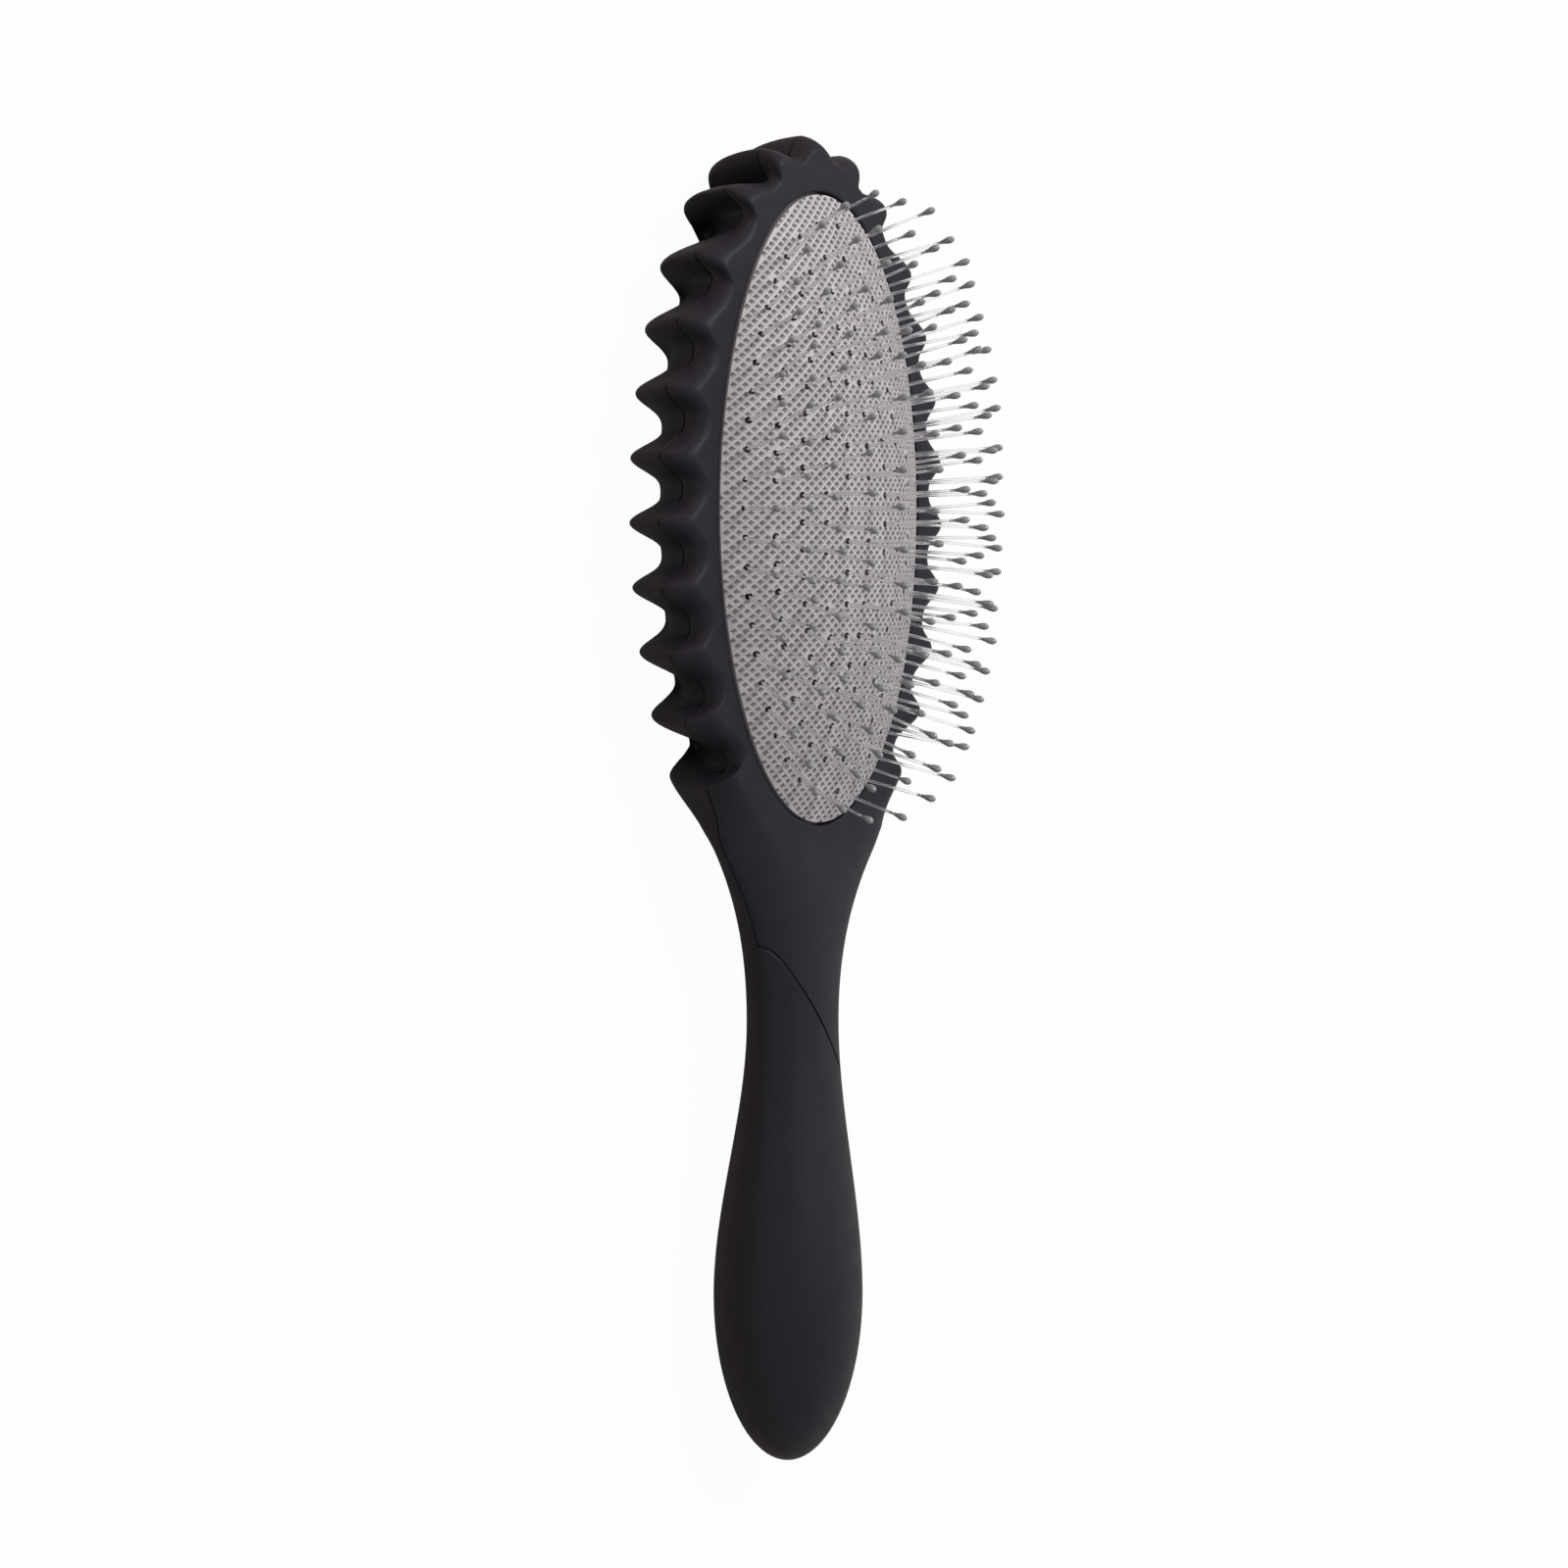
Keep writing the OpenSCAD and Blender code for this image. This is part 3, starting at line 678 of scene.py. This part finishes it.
def latticeGrid():
    # Lines of a square lattice turned by 45 degrees, over the oval: across each pit the lines are
    # ridge, ridge's foot, bottom and foot, and a point is deep where two bottom lines cross
    c = cushionDims
    cell = c["pitPitch"] / math.sqrt(2)
    reach = int(math.ceil((c["halfWidth"] + c["halfLength"]) / math.sqrt(2) / cell)) + 1
    steps = np.array([0, c["ridgeShare"], 0.5, 1 - c["ridgeShare"]])
    line = (np.arange(-reach, reach)[:, None] + steps).ravel() * cell
    kind = np.tile([0, 0, 1, 0], 2 * reach)
    u, v = np.meshgrid(line, line, indexing="ij")
    return (u - v) / math.sqrt(2), (u + v) / math.sqrt(2), np.outer(kind, kind).astype(float)


def nearestPins(x, y, pins, inside):
    # the nearest pin of each point on the cushion, and how far off it stands
    near = np.zeros(x.shape, int)
    gap = np.full(x.shape, 9.0)
    away = np.hypot(x[inside][:, None] - pins[:, 0], y[inside][:, None] - pins[:, 1])
    near[inside] = away.argmin(1)
    gap[inside] = away.min(1)
    return near, gap


def cushionTop(pins):
    # The outer skin as triangles: the lattice inside the oval and outside the holes, with the
    # corners of its faces that lie past a border moved onto that border. Places are from the middle.
    c = cushionDims
    x, y, depth = latticeGrid()
    oval = (1 - np.hypot(x / c["halfWidth"], y / c["halfLength"])) * c["halfWidth"]
    near, gap = nearestPins(x, y, pins, oval > -1.5)
    keep = (oval > 0) & (gap > c["holeRadius"])
    used = keep[:-1, :-1] | keep[:-1, 1:] | keep[1:, 1:] | keep[1:, :-1]
    touched = np.zeros(x.shape, bool)
    for corner in (touched[:-1, :-1], touched[:-1, 1:], touched[1:, 1:], touched[1:, :-1]):
        corner |= used
    out = touched & ~keep
    atHole = out & (gap < c["holeReach"] * c["holeRadius"])
    pull = c["holeRadius"] / np.maximum(gap, 1e-3)
    x = np.where(atHole, pins[near, 0] + (x - pins[near, 0]) * pull, x)
    y = np.where(atHole, pins[near, 1] + (y - pins[near, 1]) * pull, y)
    scale = 1 / np.maximum(np.hypot(x / c["halfWidth"], y / c["halfLength"]), 1e-6)
    scale = np.where(out & ~atHole, scale, 1)
    x, y = x * scale, y * scale
    # the pits fade out towards the holes
    fade = smoothStep((gap - c["holeRadius"]) / (c["smoothReach"] - c["holeRadius"]))
    z = crownHeight(x, y) - depth * c["pitDepth"] * np.where(out, 0, fade)
    # each cell folds along the line to the bottom of its pit
    index = -np.ones(x.shape, int)
    index[touched] = np.arange(touched.sum())
    i, j = np.nonzero(used)
    p0, p1, p2, p3 = index[i, j], index[i, j + 1], index[i + 1, j + 1], index[i + 1, j]
    rising = ((i % 4 < 2) == (j % 4 < 2))[:, None]
    first = np.where(rising, np.stack([p0, p1, p2], -1), np.stack([p0, p1, p3], -1))
    second = np.where(rising, np.stack([p0, p2, p3], -1), np.stack([p1, p2, p3], -1))
    top = np.stack([x, y, z], -1)[touched]
    tris = np.concatenate([first, second])
    area = np.cross(top[tris[:, 1]] - top[tris[:, 0]], top[tris[:, 2]] - top[tris[:, 0]])
    return top, tris[np.linalg.norm(area, axis=1) > 1e-7]


def openEdges(tris):
    # edges that one triangle alone has, as pairs of points
    edges = np.concatenate([tris[:, [0, 1]], tris[:, [1, 2]], tris[:, [2, 0]]])
    low, high = edges.min(1), edges.max(1)
    _, inverse, number = np.unique(low * (high.max() + 1) + high, return_inverse=True, return_counts=True)
    return edges[number[inverse] == 1]


def makeCushion(pins):
    # The outer skin, the same skin a wall's thickness in along the way of the pins, walls round the
    # holes, and under the rim a skirt that runs down to the flange, round it and up inside
    c = cushionDims
    middle = np.array([0, headDims["headCentre"], 0])
    top, tris = cushionTop(pins)
    border = openEdges(tris)
    lean = pinWay(top[:, :2])
    under = top - lean / lean[:, 2:] * c["wall"]
    under[:, 2] = crownHeight(top[:, 0], top[:, 1]) - c["wall"]
    shift = len(top)
    start = top[border[:, 0]]
    isRim = np.hypot(start[:, 0] / c["halfWidth"], start[:, 1] / c["halfLength"]) > c["rimFrom"]
    holes = border[~isRim]
    rim = border[isRim]
    ids, back = np.unique(rim, return_inverse=True)
    back = back.reshape(rim.shape)
    wide = np.array([1 + c["flange"] / c["halfWidth"], 1 + c["flange"] / c["halfLength"]])
    rows = [(top[ids, :2], c["flangeBottom"] + c["flangeHeight"]),
            (top[ids, :2] * wide, c["flangeBottom"] + c["flangeHeight"]),
            (top[ids, :2] * wide, c["flangeBottom"]), (under[ids, :2], c["flangeBottom"])]
    points = [top, under] + [np.column_stack([plan, np.full(len(ids), level)]) for plan, level in rows]
    lines = [ids] + [np.arange(len(ids)) + 2 * shift + k * len(ids) for k in range(len(rows))] + [ids + shift]
    faces = [tris, tris[:, ::-1] + shift,
             np.stack([holes[:, 1], holes[:, 0], holes[:, 0] + shift, holes[:, 1] + shift], -1)]
    for upper, lower in zip(lines[:-1], lines[1:]):
        faces.append(np.stack([upper[back[:, 1]], upper[back[:, 0]],
                               lower[back[:, 0]], lower[back[:, 1]]], -1))
    piece = makeMesh("cushion", np.concatenate(points) + middle, faces, smooth=False)
    piece.data.materials.append(softPlastic("cushionRubber", **cushionColourAndPitShade))
    piece.data.materials.append(softPlastic("holeShade", **paintedHoleShade))
    # painted shade: the walls of the holes and the underside lie in the dark of the chamber and get a
    # near-black colour
    shade = np.zeros(len(piece.data.polygons), int)
    shade[len(tris):2 * len(tris) + len(holes)] = 1
    piece.data.polygons.foreach_set("material_index", shade)
    weldAndTurnOut(piece, distance=0.0004)
    # painted shade in the pits, by how deep each point lies
    markPitShade(piece.data)
    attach(piece, "body")
    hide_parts("cushion_pad")
    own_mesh(piece)
    print("cushion", len(piece.data.polygons), "faces")


def markPitShade(mesh):
    # an attribute says how deep each point lies in its pit, for the painted shade that darkens the colour
    # towards the pits' bottoms
    place = np.empty(len(mesh.vertices) * 3)
    mesh.vertices.foreach_get("co", place)
    place = place.reshape(-1, 3) / mm
    level = crownHeight(place[:, 0], place[:, 1] - headDims["headCentre"])
    pit = mesh.attributes.new("pit", "FLOAT", "POINT")
    pit.data.foreach_set("value", np.clip((level - place[:, 2]) / cushionDims["pitDepth"], 0, 1))


rings = pinPlaces()
makeCushion(np.concatenate(rings))


# Pins: clear nylon, each with a drop-shaped tip, ring by ring

def pinLength(places):
    # length over the cushion with the tip, a little less over the top of the crown
    p = pinDims
    share = np.clip(np.abs(places[:, 0]) / p["ringHalfWidth"], 0, 1)
    return p["length"] - p["middleCut"] * (1 - share) ** 2


def placeOnPins(template, faces, places, way, stretch, offset):
    # copies a template whose Z runs along a pin to every pin, stretched along it and moved up it
    root = np.column_stack([places, crownHeight(places[:, 0], places[:, 1])]) + [0, headDims["headCentre"], 0]
    side = np.cross([0.0, 1.0, 0.0], way)
    side /= np.linalg.norm(side, axis=1, keepdims=True)
    turn = np.stack([side, np.cross(way, side), way], 1)
    shapes = np.repeat(template[None], len(places), 0)
    shapes[..., 2] = shapes[..., 2] * stretch[:, None] + offset[:, None]
    points = np.einsum("nvk,nkc->nvc", shapes, turn) + root[:, None]
    shifts = np.arange(len(places))[:, None, None] * len(template)
    return points.reshape(-1, 3), [(f + shifts).reshape(-1, f.shape[1]) for f in faces]


def turned(profile, sides):
    # a profile of (height, radius) rows turned about Z, closed at both ends
    angle = 2 * np.pi * np.arange(sides) / sides
    height, radius = profile[:, :1], profile[:, 1:]
    rows = np.stack([radius * np.cos(angle), radius * np.sin(angle), height + 0 * angle], -1)
    points = np.concatenate([rows.reshape(-1, 3), [[0, 0, height[0, 0]], [0, 0, height[-1, 0]]]])
    n = len(profile) * sides
    first = np.arange(sides)
    last = first + n - sides
    caps = np.concatenate([
        np.stack([np.roll(first, -1), first, np.full(sides, n)], -1),
        np.stack([last, np.roll(last, -1), np.full(sides, n + 1)], -1)])
    return points, [gridFaces(rows.shape[:2], wrap=True), caps]


def clearNylon():
    material, nodes, links, shader = newMaterial("clearNylon")
    shader.inputs["Base Color"].default_value = (0.97, 0.97, 0.98, 1)
    links.new(between(nodes, links, noiseOn(nodes, links, 500.0), 0.06, 0.16), shader.inputs["Roughness"])
    shader.inputs["IOR"].default_value = 1.5
    shader.inputs["Transmission Weight"].default_value = 0.92
    return material


def slateGloss():
    material, nodes, links, shader = newMaterial("slateGloss")
    colour = colourClouds(nodes, links, (0.17, 0.187, 0.2), (0.24, 0.26, 0.275), 150.0)
    links.new(colour, shader.inputs["Base Color"])
    links.new(between(nodes, links, noiseOn(nodes, links, 400.0), 0.16, 0.28), shader.inputs["Roughness"])
    shader.inputs["Coat Weight"].default_value = 0.4
    shader.inputs["Coat Roughness"].default_value = 0.1
    return material


def makePins(rings):
    p = pinDims
    nylon = clearNylon()
    slate = slateGloss()
    random = np.random.default_rng(5)
    stemProfile = np.array(p["stem"]) * (1, p["radius"])
    tipProfile = np.array(p["tip"]) * (p["tipLength"], p["tipRadius"])
    nodeEnds = ("ring_1", "ring_2", "ring_3", "ring_4", "row_5")
    for i, (places, nodeEnd) in enumerate(zip(rings, nodeEnds)):
        stem = pinLength(places) - p["tipLength"]
        # no two pins lean quite alike
        way = pinWay(places) + random.normal(0, p["waver"], (len(places), 3))
        way /= np.linalg.norm(way, axis=1, keepdims=True)
        for kind, profile, sides, stretch, offset, material, slot in (
                ("pins", stemProfile, 8, stem, 0 * stem, nylon, "pin_clear"),
                ("tips", tipProfile, 10, 0 * stem + 1, stem, slate, "tip_grey")):
            shape, faces = turned(profile, sides)
            points, faces = placeOnPins(shape, faces, places, way, stretch, offset)
            piece = makeMesh(f"{kind}{i + 1}", points, faces)
            piece.data.materials.append(material)
            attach(piece, "pins")
            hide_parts(f"{kind}_{nodeEnd}")
    print("pins are in place")


makePins(rings)


# The chamber plate inside keeps its solid, in hard grey plastic

plateFinish = {
    "dark": (0.16, 0.16, 0.165), "light": (0.19, 0.19, 0.195), "roughness": (0.4, 0.5),
    "grain": 1500.0, "bump": 0.2,
}
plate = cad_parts["chamber_plate"]
plate.data.materials.clear()
plate.data.materials.append(softPlastic("plateGrey", **plateFinish))


# Floor, world and lamps

stageDims = {
    "floorReach": 3000, "floorSides": 64, "floorPlace": -0.02, "floorColour": (0.6, 0.48, 0.42),
    "floorMirrored": 0.12, "floorWhite": 0.97, "worldFill": 0.24,
}


def seenStraight(nodes, links, mirrored=1.0):
    # 1 for the camera's rays and those through clear pins, a share for mirrored rays, 0 for the light
    # that falls on the object
    path = nodes.new("ShaderNodeLightPath")
    glossy = nodes.new("ShaderNodeMath")
    glossy.operation = "MULTIPLY_ADD"
    glossy.inputs[1].default_value = mirrored
    links.new(path.outputs["Is Glossy Ray"], glossy.inputs[0])
    links.new(path.outputs["Is Transmission Ray"], glossy.inputs[2])
    seen = nodes.new("ShaderNodeMath")
    seen.operation = "ADD"
    seen.use_clamp = True
    links.new(path.outputs["Is Camera Ray"], seen.inputs[0])
    links.new(glossy.outputs[0], seen.inputs[1])
    return seen.outputs[0]


def makeFloor():
    # a white disc that keeps a little of its own colour, so that it shows the object's shadow; mirrored
    # it is mostly its own colour, so that the fins' undersides stay dark
    s = stageDims
    angle = 2 * np.pi * np.arange(s["floorSides"]) / s["floorSides"]
    points = np.stack([s["floorReach"] * np.cos(angle), s["floorReach"] * np.sin(angle),
                       np.full(s["floorSides"], s["floorPlace"])], -1)
    floor = makeMesh("floor", points, [np.arange(s["floorSides"])[None]])
    material, nodes, links, shader = newMaterial("paleFloor")
    shader.inputs["Base Color"].default_value = (*s["floorColour"], 1)
    shader.inputs["Roughness"].default_value = 0.9
    glow = nodes.new("ShaderNodeEmission")
    glow.inputs["Strength"].default_value = 1.0
    share = nodes.new("ShaderNodeMath")
    share.operation = "MULTIPLY"
    share.inputs[1].default_value = s["floorWhite"]
    links.new(seenStraight(nodes, links, s["floorMirrored"]), share.inputs[0])
    blend = nodes.new("ShaderNodeMixShader")
    links.new(share.outputs[0], blend.inputs["Fac"])
    links.new(shader.outputs[0], blend.inputs[1])
    links.new(glow.outputs[0], blend.inputs[2])
    links.new(blend.outputs[0], nodes["Material Output"].inputs["Surface"])
    floor.data.materials.append(material)


def makeWorld():
    world = bpy.data.worlds.new("world")
    bpy.context.scene.world = world
    world.use_nodes = True
    nodes, links = world.node_tree.nodes, world.node_tree.links
    nodes.clear()
    output = nodes.new("ShaderNodeOutputWorld")
    back = nodes.new("ShaderNodeBackground")
    back.inputs["Color"].default_value = (1, 1, 1, 1)
    level = nodes.new("ShaderNodeMapRange")
    level.inputs["To Min"].default_value = stageDims["worldFill"]
    level.inputs["To Max"].default_value = 1.0
    links.new(seenStraight(nodes, links), level.inputs["Value"])
    links.new(level.outputs["Result"], back.inputs["Strength"])
    links.new(back.outputs[0], output.inputs["Surface"])


def lamp(name, place, aim, size, power, colour=(1, 1, 1)):
    data = bpy.data.lights.new(name, "AREA")
    data.shape = "RECTANGLE"
    data.size, data.size_y = size[0] * mm, size[1] * mm
    data.energy = power
    data.color = colour
    item = bpy.data.objects.new(name, data)
    item.location = Vector(place) * mm
    item.rotation_euler = (Vector(aim) - Vector(place)).to_track_quat("-Z", "Y").to_euler()
    bpy.context.scene.collection.objects.link(item)


makeFloor()
makeWorld()
# place, point aimed at, size, watts, colour
lamp("topLamp", (120, 650, 1060), (0, 20, 12), (400, 300), 12.0)
lamp("leftLamp", (-800, 60, 350), (0, 20, 12), (500, 700), 0.4)
lamp("warmLamp", (-450, 800, 60), (0, 50, 10), (300, 120), 1.2, (1, 0.68, 0.52))
lamp("rightLamp", (600, 140, 600), (0, 30, 12), (900, 400), 0.95)
print("floor, world and lamps are in place")

bpy.context.scene.view_settings.view_transform = "Standard"
